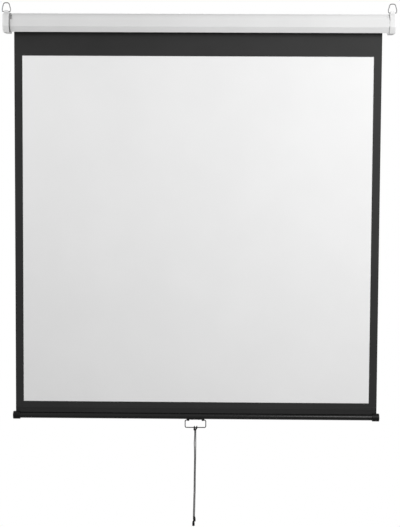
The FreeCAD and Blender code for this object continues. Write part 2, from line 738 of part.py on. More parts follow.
def hem_strip():
    """The doubled foot of the fabric, which wraps the rod inside the bar."""
    bore = HEM_ROD_R + SEATED
    strip = block(FABRIC_LEFT, FABRIC_RIGHT, SHEET_Y - HEM / 2, SHEET_Y + HEM / 2, HEM_ROD_Z, HEM_TOP)
    strip = strip.fuse(rod(bore + HEM, FABRIC_LEFT, FABRIC_RIGHT, SHEET_Y, HEM_ROD_Z))
    return strip.cut(rod(bore, FABRIC_LEFT, FABRIC_RIGHT, SHEET_Y, HEM_ROD_Z)).removeSplitter()


def hem_rod():
    return rod(HEM_ROD_R, FABRIC_LEFT, FABRIC_RIGHT, SHEET_Y, HEM_ROD_Z)


def bracket_screw_places():
    half = BRACKET_SCREW_SPREAD / 2
    return [HANDLE_X - half, HANDLE_X + half]


def bottom_bar():
    """The round weight bar, slotted along its top for the hem."""
    bar = rod(BAR_R, BAR_LEFT, BAR_RIGHT, SHEET_Y, BAR_Z)
    bar = bar.cut(rod(BAR_R - BAR_WALL, BAR_LEFT, BAR_RIGHT, SHEET_Y, BAR_Z))
    half_slot = BAR_SLOT / 2
    slot = block(BAR_LEFT, BAR_RIGHT, SHEET_Y - half_slot, SHEET_Y + half_slot, BAR_Z, BAR_Z + BAR_R)
    bar = bar.cut(slot)
    for x in bracket_screw_places():
        bar = bar.cut(post(BRACKET_SCREW_R + SEATED, x, BAR_FOOT, BAR_Z))
    return bar


def bar_cap(bar_end, fabric_end, way):
    """A sleeve over one end of the bar, slit for the fabric. way is +1 at the right-hand end."""
    outer = bar_end + way * BAR_CAP_END
    inner = outer - way * BAR_CAP_LENGTH
    low, high = min(inner, outer), max(inner, outer)
    sleeve = rod(BAR_CAP_R, low, high, SHEET_Y, BAR_Z)
    sleeve = sleeve.makeFillet(BAR_CAP_ROUND, end_edges(sleeve, low) + end_edges(sleeve, high))
    bore = rod(BAR_R + SEATED, min(inner, bar_end), max(inner, bar_end), SHEET_Y, BAR_Z)
    slit_end = fabric_end + way * CLEAR
    half_slit = BAR_CAP_SLIT / 2
    slit = block(
        min(inner, slit_end), max(inner, slit_end),
        SHEET_Y - half_slit, SHEET_Y + half_slit,
        BAR_Z, BAR_Z + BAR_CAP_R)
    return sleeve.cut(bore).cut(slit)


def eye_spans():
    """Where the bracket's two eyes begin and end along X."""
    half = EYE_LENGTH / 2
    middles = [HANDLE_X - EYE_SPREAD / 2, HANDLE_X + EYE_SPREAD / 2]
    return [(middle - half, middle + half) for middle in middles]


def handle_bracket():
    """A saddle under the bar with two eyes for the handle."""
    half_length = BRACKET_LENGTH / 2
    half_width = BRACKET_WIDTH / 2
    foot = BAR_FOOT - BRACKET_FLOOR
    top = BAR_FOOT + BRACKET_UP
    saddle = block(
        HANDLE_X - half_length, HANDLE_X + half_length,
        SHEET_Y - half_width, SHEET_Y + half_width,
        foot, top)
    saddle = saddle.makeFillet(BRACKET_ROUND, [e for e in saddle.Edges if e.BoundBox.ZMax < BAR_FOOT])
    for start, end in eye_spans():
        stem = block(start, end, SHEET_Y - EYE_R, SHEET_Y + EYE_R, EYE_Z, BAR_FOOT)
        saddle = saddle.fuse([rod(EYE_R, start, end, SHEET_Y, EYE_Z), stem])
    saddle = saddle.removeSplitter()
    saddle = saddle.cut(rod(BAR_R + SEATED, BAR_LEFT, BAR_RIGHT, SHEET_Y, BAR_Z))
    for start, end in eye_spans():
        saddle = saddle.cut(rod(HANDLE_WIRE_R + RUNNING, start, end, SHEET_Y, EYE_Z))
    for x in bracket_screw_places():
        saddle = saddle.cut(post(BRACKET_SCREW_R + SEATED, x, foot, top))
    return saddle


def bracket_screws():
    seat = BAR_FOOT - BRACKET_FLOOR
    screws = []
    for x in bracket_screw_places():
        head = post(BRACKET_SCREW_HEAD_R, x, seat - BRACKET_SCREW_HEAD, seat)
        shank = post(BRACKET_SCREW_R, x, seat, seat + BRACKET_SCREW_LENGTH)
        screws.append(head.fuse(shank).removeSplitter())
    return Part.makeCompound(screws)


def pull_handle():
    """The wire handle, hanging down, with its ends in the bracket's eyes."""
    eye_end = EYE_SPREAD / 2 + EYE_LENGTH / 2
    half = [
        (eye_end - HANDLE_SEAT, 0.0),
        (HANDLE_WIDTH / 2, 0.0),
        (HANDLE_WIDTH / 2, -HANDLE_DROP),
    ]
    loop = half + [(-x, z) for x, z in reversed(half)]
    points = [Vector(HANDLE_X + x, SHEET_Y, EYE_Z + z) for x, z in loop]
    bends = [HANDLE_TOP_BEND, HANDLE_FOOT_BEND]
    path = rounded_wire(points, bends + bends[::-1])
    return round_bar_along(path, points[0], X_AXIS, HANDLE_WIRE_R)


def cord_knot():
    """The hitch round the handle's foot: turns of cord, cut flat where the strands leave them."""
    bore = HANDLE_WIRE_R + RUNNING
    turn_r = bore + CORD_R
    middles = [CORD_X + KNOT_STEP * (k - (KNOT_TURNS - 1) / 2) for k in range(KNOT_TURNS)]
    knot = rod(turn_r, middles[0], middles[-1], SHEET_Y, HANDLE_FOOT_Z)
    centres = [Vector(x, SHEET_Y, HANDLE_FOOT_Z) for x in middles]
    knot = knot.fuse([Part.makeTorus(turn_r, CORD_R, centre, X_AXIS) for centre in centres])
    knot = knot.removeSplitter()
    start, end = middles[0] - 2 * CORD_R, middles[-1] + 2 * CORD_R
    knot = knot.cut(rod(bore, start, end, SHEET_Y, HANDLE_FOOT_Z))
    reach = turn_r + CORD_R
    flat = HANDLE_FOOT_Z + KNOT_FLAT
    return knot.cut(block(start, end, SHEET_Y - reach, SHEET_Y + reach, flat - reach, flat))


def strand_points(route):
    """A strand's route, moved from the handle's foot wire to its place."""
    return [Vector(CORD_X + x, SHEET_Y + y, HANDLE_FOOT_Z + z) for x, y, z in route]


def pull_cord(name, route):
    points = strand_points(route)
    radii = []
    for before, corner, after in zip(points, points[1:], points[2:]):
        shorter = min((corner - before).Length, (after - corner).Length)
        turn = (corner - before).getAngle(after - corner)
        radii.append(CORD_ARC_SHARE * shorter / math.tan(turn / 2))
    path = rounded_wire(points, radii)
    cord = round_bar_along(path, points[0], points[1] - points[0], CORD_R)
    share = cord.Volume / (math.pi * CORD_R ** 2 * path.Length)
    print(name, "length", round(path.Length, 1), "volume share", round(share, 4))
    print(name, "radii", [round(r) for r in radii])
    return cord


def cord_tip(route):
    """A bell on the end of a strand."""
    end = strand_points(route)[-1] - Z_AXIS * CORD_SEAT
    foot = end.z - TIP_LENGTH
    corners = [
        end,
        Vector(end.x + TIP_TOP_R, end.y, end.z),
        Vector(end.x + TIP_FOOT_R, end.y, foot + TIP_SKIRT),
        Vector(end.x + TIP_FOOT_R, end.y, foot),
        Vector(end.x, end.y, foot),
    ]
    edge = rounded_wire(corners, [TIP_ROUND, TIP_BELL_BEND, TIP_ROUND])
    profile = Part.Wire(edge.Edges + [Part.LineSegment(corners[-1], corners[0]).toShape()])
    return Part.Face(profile).revolve(end, Z_AXIS, 360)


def all_parts():
    right_cap = end_cap()
    right_hanger = hanger()
    upper_pawl = pawl()
    return {
        "case_tube": case_tube(),
        "end_cap_left": mirrored(right_cap),
        "end_cap_right": right_cap,
        "cap_screws": cap_screws(),
        "idler_bracket": idler_bracket(),
        "spring_bracket": spring_bracket(),
        "hanger_left": mirrored(right_hanger),
        "hanger_right": right_hanger,
        "roller_tube": roller_tube(),
        "fabric_roll": fabric_roll(),
        "idler_plug": idler_plug(),
        "idler_pin": idler_pin(),
        "idler_bush": idler_bush(),
        "spring_shaft": spring_shaft(),
        "spring_end_plug": spring_end_plug(),
        "drive_spring": drive_spring(),
        "spring_anchor": spring_anchor(),
        "anchor_pin": anchor_pin(),
        "ratchet_wheel": ratchet_wheel(),
        "ratchet_pin": ratchet_pin(),
        "pawl_upper": upper_pawl,
        "pawl_lower": half_turned(upper_pawl),
        "pawl_pins": Part.makeCompound(pawl_pin_pair()),
        "pawl_cover": pawl_cover(),
        "screen_sheet": screen_sheet(),
        "black_border": black_border(),
        "hem_strip": hem_strip(),
        "hem_rod": hem_rod(),
        "bottom_bar": bottom_bar(),
        "bar_cap_left": bar_cap(BAR_LEFT, FABRIC_LEFT, -1),
        "bar_cap_right": bar_cap(BAR_RIGHT, FABRIC_RIGHT, 1),
        "handle_bracket": handle_bracket(),
        "bracket_screws": bracket_screws(),
        "pull_handle": pull_handle(),
        "cord_knot": cord_knot(),
        "pull_cord_a": pull_cord("strand a", STRAND_A),
        "pull_cord_b": pull_cord("strand b", STRAND_B),
        "cord_tip_a": cord_tip(STRAND_A),
        "cord_tip_b": cord_tip(STRAND_B),
    }


def write_parts():
    os.makedirs("parts", exist_ok=True)
    for name, shape in all_parts().items():
        volume = round(shape.Volume, 1)
        print(name, "solids", len(shape.Solids), "valid", shape.isValid(), "volume", volume)
        shape.exportStep(f"parts/{name}.step")
    print("lift travel", round(LIFT_TRAVEL, 3))
    print("roller axis", ROLLER_Y, ROLLER_Z)
    print("pawl pivot", ROLLER_Y + PAWL_PIVOT_ACROSS, ROLLER_Z + PAWL_PIVOT_OUT)
    print("hanger axis", HANGER_Y, HANGER_Z, "at x", LUG_X)
    print("handle axis", round(SHEET_Y, 4), round(EYE_Z, 3), "cord axis", round(HANDLE_FOOT_Z, 3))


write_parts()
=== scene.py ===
"""Looks of a wall-hung projection screen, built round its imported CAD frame. Lengths are in metres."""
import json
import math

import bpy
from mathutils import Matrix, Vector


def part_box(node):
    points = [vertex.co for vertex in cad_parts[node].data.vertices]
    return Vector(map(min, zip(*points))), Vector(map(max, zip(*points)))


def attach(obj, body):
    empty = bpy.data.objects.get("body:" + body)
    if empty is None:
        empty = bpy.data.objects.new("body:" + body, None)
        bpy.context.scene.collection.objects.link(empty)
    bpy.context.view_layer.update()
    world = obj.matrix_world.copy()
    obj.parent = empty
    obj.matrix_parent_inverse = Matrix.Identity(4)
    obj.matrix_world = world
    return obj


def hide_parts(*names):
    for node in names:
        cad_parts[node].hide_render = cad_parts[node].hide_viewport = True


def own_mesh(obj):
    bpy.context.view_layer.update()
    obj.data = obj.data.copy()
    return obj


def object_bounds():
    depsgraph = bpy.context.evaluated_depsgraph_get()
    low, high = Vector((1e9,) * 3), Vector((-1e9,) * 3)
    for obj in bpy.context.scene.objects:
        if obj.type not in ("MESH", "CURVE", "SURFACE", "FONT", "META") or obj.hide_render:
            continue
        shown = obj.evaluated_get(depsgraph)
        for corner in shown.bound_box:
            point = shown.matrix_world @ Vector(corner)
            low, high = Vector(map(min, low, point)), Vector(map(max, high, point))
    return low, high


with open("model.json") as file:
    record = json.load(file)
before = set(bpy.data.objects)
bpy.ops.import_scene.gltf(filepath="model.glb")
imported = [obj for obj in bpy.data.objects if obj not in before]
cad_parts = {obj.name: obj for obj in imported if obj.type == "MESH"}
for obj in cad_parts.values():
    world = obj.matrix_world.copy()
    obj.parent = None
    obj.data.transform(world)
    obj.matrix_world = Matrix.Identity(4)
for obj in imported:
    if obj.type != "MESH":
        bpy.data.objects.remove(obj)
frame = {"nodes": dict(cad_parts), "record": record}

MM = 0.001

# The photograph's camera
IMAGE_WIDTH = 400
IMAGE_HEIGHT = 527
FOCAL_PIXELS = 1088.4
SENSOR_MM = 36.0
CAMERA_PLACE = Vector((0.0605, -4.5, -0.69665))
CAMERA_YAW = math.radians(-0.655)
CAMERA_PITCH = math.radians(-3.552)
CAMERA_ROLL = math.radians(0.316)

# Light and floor
KEY_PLACE = (1.52, -2.88, 0.32)
KEY_SIZE = (2.0, 1.5)
KEY_POWER = 89.0
LEFT_PLACE = (-2.4, -0.54, 0.1)
RIGHT_PLACE = (2.3, 0.03, 0.75)
SIDE_SIZE = (0.6, 1.6)
SIDE_POWER = 25.0
BACK_PLACE = (-1.2, 3.2, 0.6)
BACK_SIZE = (2.0, 2.0)
BACK_POWER = 50.0
LAMP_AIM = (0.0, 0.0, -0.8)
WHITE = (1.0, 1.0, 1.0, 1.0)
BACKGROUND = 1.0
FILL = 0.2
FLOOR_BELOW = 1.2
FLOOR_HALF_WIDTH = 3.0
FLOOR_FRONT = -4.4
FLOOR_BACK = 0.6

# Materials: the range of most of a noise, the fabric's woven ground, and grain drawn out along an axis
NOISE_LOW = 0.3
NOISE_HIGH = 0.7
CLOTH_PATCH = 0.25
CLOTH_PATCH_DETAIL = 3.0
CLOTH_GRAIN = 2.0 * MM
WEAVE_PITCH = 0.55 * MM
WEAVE_DEPTH = 0.02 * MM
WEAVE_UNEVENNESS = 0.6
WEAVE_DETAIL = 1.0
WAVE_RADIANS_PER_METRE = 20.0
GRAIN_ALONG_X = (0.05, 1.0, 1.0)
GRAIN_ALONG_Z = (1.0, 1.0, 0.08)
FIBRES_ALONG_Z = (1.0, 1.0, 0.25)
IVORY_DARK = (1.0, 0.98, 0.91)
IVORY_PALE = (1.0, 0.98, 0.92)

# Hanging fabric. A ripple has a depth, a number of waves across, a start and a lean
FABRIC = 0.4 * MM
COAT_EDGE = 0.1 * MM
GRID_STEP = 14.0 * MM
BROAD_RIPPLE = (0.9 * MM, 2.1, 0.6, 0.8)
FINE_RIPPLE = (0.3 * MM, 5.3, 1.9, -1.4)
RIPPLE_ONSET = 0.8
EDGE_CURL = 1.1 * MM
CURL_POWER = 10
WHITE_FACE = 0
BLACK_FACE = 1

# Turns on the roller
ROLL_HALF_TURNS = 3
ROLL_STEP = 0.75 * MM

# Hem. The profile of a weld's ridge is in shares of its width and height
HEM_LAP = 1.0 * MM
HEM_RIDGES = (3.0 * MM, 4.5 * MM, 9.0 * MM, 10.5 * MM)
HEM_RIDGE_WIDTH = 0.8 * MM
HEM_RIDGE_HEIGHT = 0.08 * MM
HEM_RIDGE_PROFILE = ((-0.5, 0.0), (-0.25, 1.0), (0.25, 1.0), (0.5, 0.0))

# Steps and edges of the meshes
ROW_STEP = 100.0 * MM
ARC_STEPS = 24
SHARP_EDGE = math.radians(35.0)
NO_SHARP_EDGE = math.pi

# Cord. Its routes are in millimetres from the middle of the hitch, on the axis of the handle's foot wire
CORD_R = 2.0 * MM
WIRE_R = 2.0 * MM
BRAID_RELIEF = 0.24 * MM
BRAID_YARNS = 6
BRAID_STEP = 2.6 * MM
BRAID_SIDES = 24
YARN_FLATNESS = 0.35
CORD_RESOLUTION = 84
HITCH_RESOLUTION = 20
STRAND_A = [
    (2.1, 0.0, -5.0), (2.0, -0.2, -23.0), (2.1, -0.4, -46.0), (2.4, -0.2, -68.0),
    (2.1, 0.1, -92.0), (1.9, -0.2, -136.0), (1.0, -0.5, -181.0), (0.7, -0.3, -232.0),
    (0.6, 0.2, -270.0), (-0.3, -0.3, -304.0), (-0.7, -0.8, -346.0), (-1.9, -0.6, -377.5),
]
STRAND_B = [
    (-2.1, 0.0, -5.0), (-2.2, 0.3, -23.0), (-2.7, 0.5, -46.0), (-4.4, 0.8, -68.0),
    (-2.7, 0.6, -92.0), (-2.4, 0.3, -136.0), (-3.3, 0.7, -181.0), (-3.6, 1.0, -232.0),
    (-3.8, 0.6, -270.0), (-4.7, 1.2, -304.0), (-5.6, 3.0, -346.0), (-6.6, 6.4, -374.0),
    (-5.8, 7.0, -398.4),
]
HITCH = [
    (-2.1, 0.0, -5.0), (-2.3, -3.2, -3.8), (-2.8, -5.0, 0.3), (-3.3, -3.4, 4.4), (-3.8, 1.6, 5.2),
    (-4.4, 5.2, 1.2), (-5.2, 4.6, -4.4), (-5.9, 0.0, -8.8), (-4.8, -5.0, -10.6), (-1.0, -6.2, -10.0),
    (2.8, -5.4, -7.4), (5.4, -2.2, -5.8), (6.6, 2.8, -4.8), (6.6, 5.4, 0.4), (6.4, 2.2, 5.2),
    (5.8, -3.0, 5.0), (4.6, -5.2, 0.6), (3.2, -3.0, -3.6), (2.1, 0.0, -5.0),
]

cad_low, cad_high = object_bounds()


def link(piece):
    bpy.context.scene.collection.objects.link(piece)
    return piece


def mesh_piece(name, points, faces, sharp=SHARP_EDGE):
    """A mesh object from points and faces, shaded smooth up to the angle sharp."""
    mesh = bpy.data.meshes.new(name)
    mesh.from_pydata([tuple(p) for p in points], [], faces)
    mesh.validate()
    mesh.shade_smooth()
    mesh.set_sharp_from_angle(angle=sharp)
    return link(bpy.data.objects.new(name, mesh))


def middle(node):
    low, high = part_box(node)
    return (low + high) / 2


# Camera and lamps
def make_camera():
    """The photograph's viewpoint, from its place, turn and focal length in pixels."""
    forward = Vector((
        math.sin(CAMERA_YAW) * math.cos(CAMERA_PITCH),
        math.cos(CAMERA_YAW) * math.cos(CAMERA_PITCH),
        math.sin(CAMERA_PITCH)))
    level = Vector((math.cos(CAMERA_YAW), -math.sin(CAMERA_YAW), 0.0))
    upright = level.cross(forward)
    right = level * math.cos(CAMERA_ROLL) + upright * math.sin(CAMERA_ROLL)
    up = upright * math.cos(CAMERA_ROLL) - level * math.sin(CAMERA_ROLL)
    data = bpy.data.cameras.new("camera")
    data.sensor_width = SENSOR_MM
    data.lens = FOCAL_PIXELS * SENSOR_MM / max(IMAGE_WIDTH, IMAGE_HEIGHT)
    camera = link(bpy.data.objects.new("camera", data))
    turn = Matrix((right, up, -forward)).transposed().to_4x4()
    camera.matrix_world = Matrix.Translation(CAMERA_PLACE) @ turn
    bpy.context.scene.camera = camera


def soft_lamp(name, place, size, power):
    """A broad studio lamp, turned towards the middle of the screen."""
    data = bpy.data.lights.new(name, "AREA")
    data.shape = "RECTANGLE"
    data.size, data.size_y = size
    data.energy = power
    lamp = link(bpy.data.objects.new(name, data))
    lamp.location = place
    lamp.rotation_euler = (Vector(LAMP_AIM) - Vector(place)).to_track_quat("-Z", "Y").to_euler()


# Shader nodes
def add(tree, kind, inputs=None, **settings):
    """A shader node with its settings, whose inputs are values or other nodes' outputs."""
    made = tree.nodes.new(kind)
    for key, value in settings.items():
        setattr(made, key, value)
    for key, value in (inputs or {}).items():
        if isinstance(value, bpy.types.NodeSocket):
            tree.links.new(value, made.inputs[key])
        else:
            made.inputs[key].default_value = value
    return made


def larger(tree, one, other):
    return add(tree, "ShaderNodeMath", {0: one, 1: other}, operation="MAXIMUM").outputs[0]


def noise(tree, coords, size, detail=4.0, stretch=None):
    """Noise whose features are about size across, drawn out along an axis by stretch."""
    if stretch:
        coords = add(tree, "ShaderNodeMapping", {"Vector": coords, "Scale": stretch}).outputs["Vector"]
    made = add(tree, "ShaderNodeTexNoise", {"Vector": coords, "Scale": 1.0 / size, "Detail": detail})
    return made.outputs["Fac"]


def weave_height(tree, coords):
    """Crossed threads of a plain weave."""
    scale = 2 * math.pi / (WAVE_RADIANS_PER_METRE * WEAVE_PITCH)
    threads = []
    for direction in ("X", "Z"):
        inputs = {
            "Vector": coords, "Scale": scale, "Distortion": WEAVE_UNEVENNESS, "Detail": WEAVE_DETAIL}
        wave = add(tree, "ShaderNodeTexWave", inputs, bands_direction=direction)
        threads.append(wave.outputs["Fac"])
    return larger(tree, *threads)


def between(tree, value, low, high):
    """A number that goes from low to high over the range of most of a noise."""
    made = add(tree, "ShaderNodeMapRange", {
        "Value": value, "From Min": NOISE_LOW, "From Max": NOISE_HIGH, "To Min": low, "To Max": high})
    return made.outputs["Result"]


def shades(tree, value, dark, pale):
    """A colour that goes from dark to pale over the range of most of a noise."""
    ramp = add(tree, "ShaderNodeValToRGB", {"Fac": value})
    stops = ((NOISE_LOW, dark), (NOISE_HIGH, pale))
    for element, (position, colour) in zip(ramp.color_ramp.elements, stops):
        element.position = position
        element.color = (*colour, 1.0)
    return ramp.outputs["Color"]


def grey(value, tint=(1.0, 1.0, 1.0)):
    return tuple(value * part for part in tint)


def make_world():
    """White behind the object and in its reflections, and an even soft fill for the rest."""
    world = bpy.data.worlds.new("studio")
    bpy.context.scene.world = world
    world.use_nodes = True
    tree = world.node_tree
    tree.nodes.clear()
    ray = add(tree, "ShaderNodeLightPath").outputs
    seen = larger(tree, ray["Is Camera Ray"], ray["Is Glossy Ray"])
    seen = larger(tree, seen, ray["Is Transmission Ray"])
    fill = add(tree, "ShaderNodeBackground", {"Color": WHITE, "Strength": FILL})
    white = add(tree, "ShaderNodeBackground", {"Color": WHITE, "Strength": BACKGROUND})
    mixed = add(tree, "ShaderNodeMixShader", {0: seen, 1: fill.outputs[0], 2: white.outputs[0]})
    add(tree, "ShaderNodeOutputWorld", {"Surface": mixed.outputs[0]})


# Kinds of material
def start_material(name):
    material = bpy.data.materials.new(name)
    material.use_nodes = True
    tree = material.node_tree
    shader = tree.nodes["Principled BSDF"]
    coords = add(tree, "ShaderNodeTexCoord").outputs["Object"]
    return material, tree, shader, coords


def connect(tree, shader, colour, roughness, height, depth):
    tree.links.new(colour, shader.inputs["Base Color"])
    tree.links.new(roughness, shader.inputs["Roughness"])
    bump = add(tree, "ShaderNodeBump", {"Height": height, "Distance": depth})
    tree.links.new(bump.outputs["Normal"], shader.inputs["Normal"])


def grained(name, dark, pale, rough, patch, grain, depth, specular=0.5, metallic=0.0, stretch=None):
    """Paint, plastic or metal: broad patches of colour, and a fine grain in its gloss and surface."""
    material, tree, shader, coords = start_material(name)
    shader.inputs["Metallic"].default_value = metallic
    shader.inputs["Specular IOR Level"].default_value = specular
    broad = noise(tree, coords, patch)
    fine = noise(tree, coords, grain, stretch=stretch)
    connect(tree, shader, shades(tree, broad, dark, pale), between(tree, fine, *rough), fine, depth)
    return material


def coated_cloth(name, dark, pale, rough, specular):
    """Coated screen fabric: broad unevenness over a fine woven ground."""
    material, tree, shader, coords = start_material(name)
    shader.inputs["Specular IOR Level"].default_value = specular
    broad = noise(tree, coords, CLOTH_PATCH, detail=CLOTH_PATCH_DETAIL)
    fine = noise(tree, coords, CLOTH_GRAIN)
    colour = shades(tree, broad, dark, pale)
    connect(tree, shader, colour, between(tree, fine, *rough), weave_height(tree, coords), WEAVE_DEPTH)
    return material


def spangled(name, dark, pale, rough, crystal, grain, depth):
    """Zinc coat: crystals of uneven tone and gloss."""
    material, tree, shader, coords = start_material(name)
    shader.inputs["Metallic"].default_value = 1.0
    cells = add(tree, "ShaderNodeTexVoronoi", {"Vector": coords, "Scale": 1.0 / crystal})
    tone = add(tree, "ShaderNodeSeparateColor", {"Color": cells.outputs["Color"]}).outputs[0]
    fine = noise(tree, coords, grain)
    connect(tree, shader, shades(tree, tone, dark, pale), between(tree, tone, *rough), fine, depth)
    return material


def fibrous(name, dark, pale, rough, fibre, depth, specular, sheen):
    """Yarn, with fibres drawn out along the cord."""
    material, tree, shader, coords = start_material(name)
    shader.inputs["Specular IOR Level"].default_value = specular
    shader.inputs["Sheen Weight"].default_value = sheen
    fibres = noise(tree, coords, fibre, stretch=FIBRES_ALONG_Z)
    connect(tree, shader, shades(tree, fibres, dark, pale), between(tree, fibres, *rough), fibres, depth)
    return material


# Materials, each under the name of its slot
def case_paint():
    """White paint of the casing."""
    return grained(
        "case_paint", dark=grey(0.7), pale=grey(0.725), rough=(0.55, 0.65),
        patch=0.18, grain=1.6 * MM, depth=0.02 * MM, specular=0.25)


def cap_plastic():
    """White moulded plastic of the end caps."""
    return grained(
        "cap_plastic", dark=grey(0.715), pale=grey(0.745), rough=(0.5, 0.6),
        patch=0.03, grain=0.6 * MM, depth=0.02 * MM, specular=0.3)


def bracket_steel():
    """Dull rolled steel of the end plates."""
    return grained(
        "bracket_steel", dark=grey(0.19), pale=grey(0.27), rough=(0.34, 0.5),
        patch=0.012, grain=0.7 * MM, depth=0.008 * MM, metallic=1.0, stretch=GRAIN_ALONG_Z)


def screw_steel():
    """Bright steel of the cap screws."""
    return grained(
        "screw_steel", dark=grey(0.45), pale=grey(0.6), rough=(0.25, 0.42),
        patch=0.003, grain=0.3 * MM, depth=0.006 * MM, metallic=1.0)


def hanger_wire():
    """Dark steel wire of the hangers."""
    return grained(
        "hanger_wire", dark=grey(0.07), pale=grey(0.13), rough=(0.28, 0.42),
        patch=0.01, grain=0.5 * MM, depth=0.008 * MM, metallic=1.0)


def roller_steel():
    """Galvanised steel of the roller."""
    return spangled(
        "roller_steel", dark=grey(0.42), pale=grey(0.56), rough=(0.35, 0.5),
        crystal=9.0 * MM, grain=1.0 * MM, depth=0.01 * MM)


def lock_steel():
    """Turned steel of the shaft, pins, pawls and ratchet."""
    return grained(
        "lock_steel", dark=grey(0.3), pale=grey(0.46), rough=(0.28, 0.48),
        patch=0.006, grain=0.5 * MM, depth=0.008 * MM, metallic=1.0, stretch=GRAIN_ALONG_X)


def spring_steel():
    """Dark steel of the winding spring."""
    return grained(
        "spring_steel", dark=grey(0.1), pale=grey(0.2), rough=(0.25, 0.42),
        patch=0.008, grain=0.6 * MM, depth=0.008 * MM, metallic=1.0)


def plug_plastic():
    """Ivory plastic of the plugs and the bush in the roller."""
    return grained(
        "plug_plastic", dark=grey(0.66, IVORY_DARK), pale=grey(0.74, IVORY_PALE), rough=(0.42, 0.56),
        patch=0.012, grain=0.8 * MM, depth=0.02 * MM)


def screen_white():
    """Matt white face of the fabric."""
    return coated_cloth(
        "screen_white", dark=grey(0.845), pale=grey(0.865), rough=(0.84, 0.94), specular=0.15)


def screen_black():
    """Black coat of the fabric's border, back and hem."""
    return coated_cloth(
        "screen_black", dark=grey(0.024), pale=grey(0.028), rough=(0.46, 0.54), specular=0.1)


def bar_black():
    """Smooth black paint of the weight bar."""
    return grained(
        "bar_black", dark=grey(0.002), pale=grey(0.003), rough=(0.2, 0.25),
        patch=0.05, grain=1.6 * MM, depth=0.003 * MM, specular=0.22)


def rod_steel():
    """Drawn steel of the rod in the hem."""
    return grained(
        "rod_steel", dark=grey(0.4), pale=grey(0.5), rough=(0.25, 0.42),
        patch=0.02, grain=0.5 * MM, depth=0.006 * MM, metallic=1.0, stretch=GRAIN_ALONG_X)


def black_plastic():
    """Black moulded plastic of the bar's caps, the handle's bracket and the cord's tips."""
    return grained(
        "black_plastic", dark=grey(0.003), pale=grey(0.005), rough=(0.36, 0.46),
        patch=0.02, grain=0.5 * MM, depth=0.012 * MM, specular=0.12)


def black_screw():
    """Blackened steel of the bracket's screws."""
    return grained(
        "black_screw", dark=grey(0.012), pale=grey(0.03), rough=(0.35, 0.5),
        patch=0.003, grain=0.3 * MM, depth=0.006 * MM, metallic=1.0)


def handle_wire():
    """Dark steel wire of the handle."""
    return grained(
        "handle_wire", dark=grey(0.025), pale=grey(0.05), rough=(0.3, 0.42),
        patch=0.01, grain=0.5 * MM, depth=0.008 * MM, metallic=1.0)


def black_cord():
    """Matt black braid of the pull cord."""
    return fibrous(
        "black_cord", dark=grey(0.005), pale=grey(0.014), rough=(0.7, 0.9),
        fibre=0.25 * MM, depth=0.06 * MM, specular=0.12, sheen=0.05)


def floor_paint():
    """Pale matt paint of the floor."""
    return grained(
        "floor_paint", dark=grey(0.84), pale=grey(0.86), rough=(0.7, 0.8),
        patch=0.4, grain=3.0 * MM, depth=0.02 * MM, specular=0.2)


def make_materials():
    """One material for each of the record's slots."""
    makers = (
        case_paint, cap_plastic, bracket_steel, screw_steel, hanger_wire, roller_steel, lock_steel,
        spring_steel, plug_plastic, screen_white, screen_black, bar_black, rod_steel, black_plastic,
        black_screw, handle_wire, black_cord,
    )
    return {maker.__name__: maker() for maker in makers}


def dress_cad_nodes(materials):
    for entry in frame["record"]["subparts"]:
        node = frame["nodes"][entry["node"]]
        for slot in node.material_slots:
            slot.material = materials[entry["material_slot"]]


def make_floor():
    low = cad_low.z - FLOOR_BELOW
    corners = [
        (-FLOOR_HALF_WIDTH, FLOOR_FRONT, low), (FLOOR_HALF_WIDTH, FLOOR_FRONT, low),
        (FLOOR_HALF_WIDTH, FLOOR_BACK, low), (-FLOOR_HALF_WIDTH, FLOOR_BACK, low),
    ]
    floor = mesh_piece("floor", corners, [(0, 1, 2, 3)])
    floor.data.materials.append(floor_paint())


# Fabric
def spaced(stops, step):
    """Places from the first stop to the last, through every stop and no further apart than step."""
    places = [stops[0]]
    for start, end in zip(stops, stops[1:]):
        count = max(1, math.ceil(abs(end - start) / step))
        places += [start + (end - start) * k / count for k in range(1, count + 1)]
    return places


def image_edges():
    """The left, right, lower and upper edges of the image, from the corners of the border's CAD node."""
    points = [vertex.co for vertex in frame["nodes"]["black_border"].data.vertices]
    low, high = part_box("black_border")
    inside_x = [p.x for p in points if low.x + MM < p.x < high.x - MM]
    inside_z = [p.z for p in points if low.z + MM < p.z < high.z - MM]
    return min(inside_x), max(inside_x), min(inside_z), max(inside_z)


def in_image(x, z, edges):
    left, right, foot, top = edges
    return left < x < right and foot < z < top


def ripple(across, down, depth, waves, start, lean):
    return depth * math.sin(waves * math.pi * across + start + lean * down)


def fabric_wave(across, down):
    """How far the hanging fabric lies off its plane. across runs from -1 to 1 and down from 0 to 1."""
    hang = math.sin(math.pi * down) ** RIPPLE_ONSET if 0.0 < down < 1.0 else 0.0
    ripples = ripple(across, down, *BROAD_RIPPLE) + ripple(across, down, *FINE_RIPPLE)
    return hang * (ripples + EDGE_CURL * abs(across) ** CURL_POWER)


def screen_points(xs, zs, edges):
    """Points of the sheet's front and then of its back, row by row from the top."""
    low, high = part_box("screen_sheet")
    coat_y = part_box("black_border")[0].y
    points = []
    for side in ("front", "back"):
        for z in zs:
            for x in xs:
                front_y = low.y if in_image(x, z, edges) else coat_y
                y = front_y if side == "front" else high.y
                across = (2 * x - low.x - high.x) / (high.x - low.x)
                y += fabric_wave(across, (high.z - z) / (high.z - low.z))
                points.append((x, y, z))
    return points


